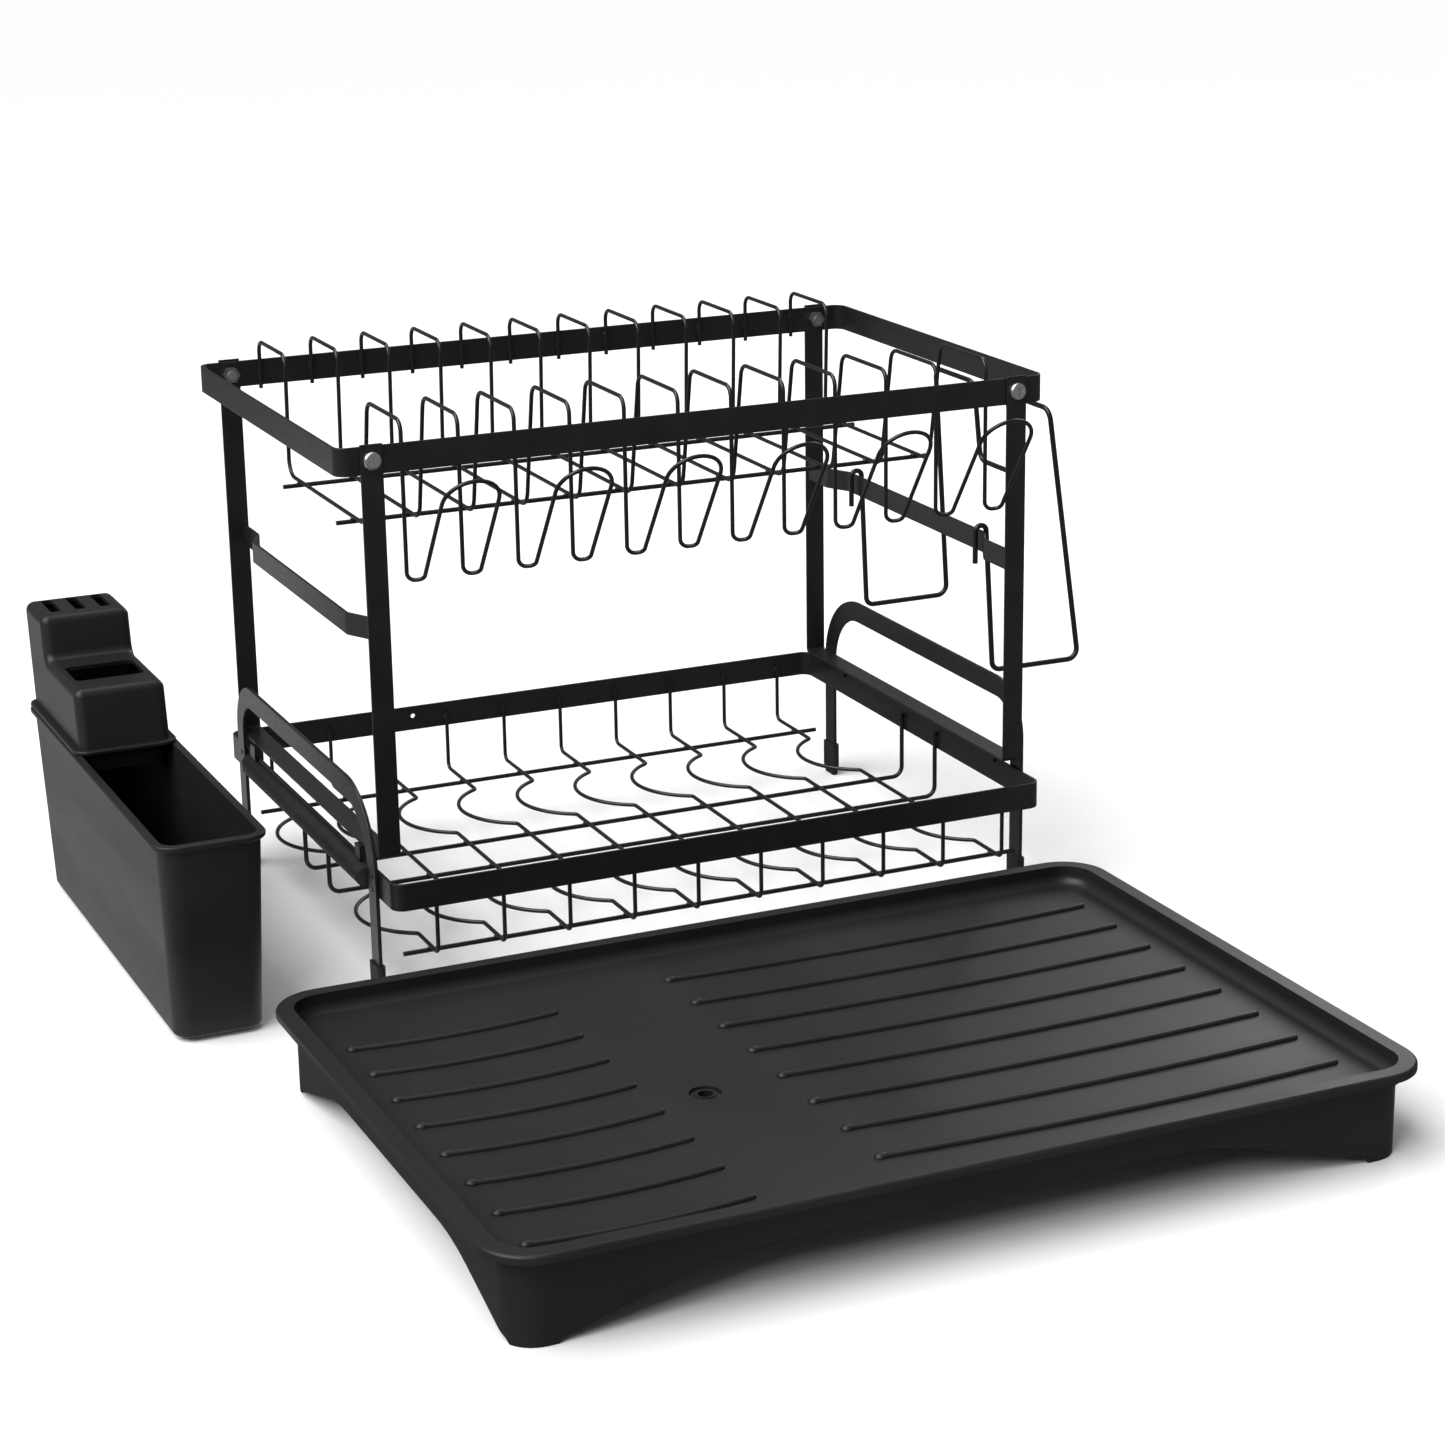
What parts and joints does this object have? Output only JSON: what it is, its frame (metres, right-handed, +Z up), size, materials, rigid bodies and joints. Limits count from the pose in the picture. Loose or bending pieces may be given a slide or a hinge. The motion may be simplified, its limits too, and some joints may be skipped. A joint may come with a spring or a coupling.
{
  "type": "dish drying rack",
  "caption": "Two-tier wire dish drying rack with cup hooks, a hang-on board holder, a ribbed drip tray with a swivel spout, and a utensil holder with a knife insert.",
  "frame": {"origin": "middle of the whole set's box, on the surface that it stands on", "axes": "+X to the right along the rack's long side, +Y from the tray to the rack's rear, +Z up"},
  "size_m": [0.5548, 0.669, 0.3063],
  "materials": {
    "black_steel": "satin black powder coat on flat bar",
    "black_wire": "satin black powder coat on round wire",
    "screw_chrome": "bright plated",
    "nut_steel": "zinc plated",
    "foot_rubber": "matt moulded rubber",
    "bumper_rubber": "smooth moulded rubber",
    "tray_plastic": "fine moulded texture, charcoal",
    "holder_plastic": "fine moulded texture, black",
    "spout_plastic": "smooth moulded, black"
  },
  "bodies": {
    "rack": {"upper_band": "black_steel", "lower_band": "black_steel", "left_side_frame": "black_steel", "left_rail_clips": "black_steel", "left_crossbar": "black_steel", "left_handle": "black_steel", "left_front_foot": "foot_rubber", "left_rear_foot": "foot_rubber", "right_side_frame": "black_steel", "right_rail_clips": "black_steel", "right_crossbar": "black_steel", "right_handle": "black_steel", "right_front_foot": "foot_rubber", "right_rear_foot": "foot_rubber", "frame_screws": "screw_chrome", "frame_nuts": "nut_steel", "upper_rod_rear": "black_wire", "upper_rod_front": "black_wire", "plate_wire_pair_1": "black_wire", "plate_wire_pair_2": "black_wire", "plate_wire_pair_3": "black_wire", "plate_wire_pair_4": "black_wire", "plate_wire_pair_5": "black_wire", "plate_wire_pair_6": "black_wire", "lower_rod_1": "black_wire", "lower_rod_2": "black_wire", "lower_rod_3": "black_wire", "lower_rod_4": "black_wire", "lower_wire_01": "black_wire", "lower_wire_02": "black_wire", "lower_wire_03": "black_wire", "lower_wire_04": "black_wire", "lower_wire_05": "black_wire", "lower_wire_06": "black_wire", "lower_wire_07": "black_wire", "lower_wire_08": "black_wire", "lower_wire_09": "black_wire", "lower_wire_10": "black_wire", "left_rail_bumper": "bumper_rubber"},
    "board_holder": {"board_holder": "black_wire"},
    "tray": {"drip_tray": "tray_plastic"},
    "spout": {"drain_spout": "spout_plastic", "drain_ring": "spout_plastic"},
    "utensil_holder": {"utensil_holder": "holder_plastic"},
    "knife_insert": {"knife_insert": "holder_plastic"}
  },
  "joints": [
    {"name": "tray_pull", "type": "slide", "parent": "rack", "child": "tray", "axis": [0, -1, 0], "range_m": [0, 0.15]},
    {"name": "spout_turn", "type": "hinge", "parent": "tray", "child": "spout", "pos_m": [-0.08943, -0.19364, 0.02], "axis": [0, 0, 1], "continuous": true},
    {"name": "holder_lift", "type": "slide", "parent": "rack", "child": "utensil_holder", "axis": [0, 0, 1], "range_m": [0, 0.12]},
    {"name": "insert_lift", "type": "slide", "parent": "utensil_holder", "child": "knife_insert", "axis": [0, 0, 1], "range_m": [0, 0.1]},
    {"name": "board_holder_lift", "type": "slide", "parent": "rack", "child": "board_holder", "axis": [0, 0, 1], "range_m": [0, 0.06]}
  ]
}
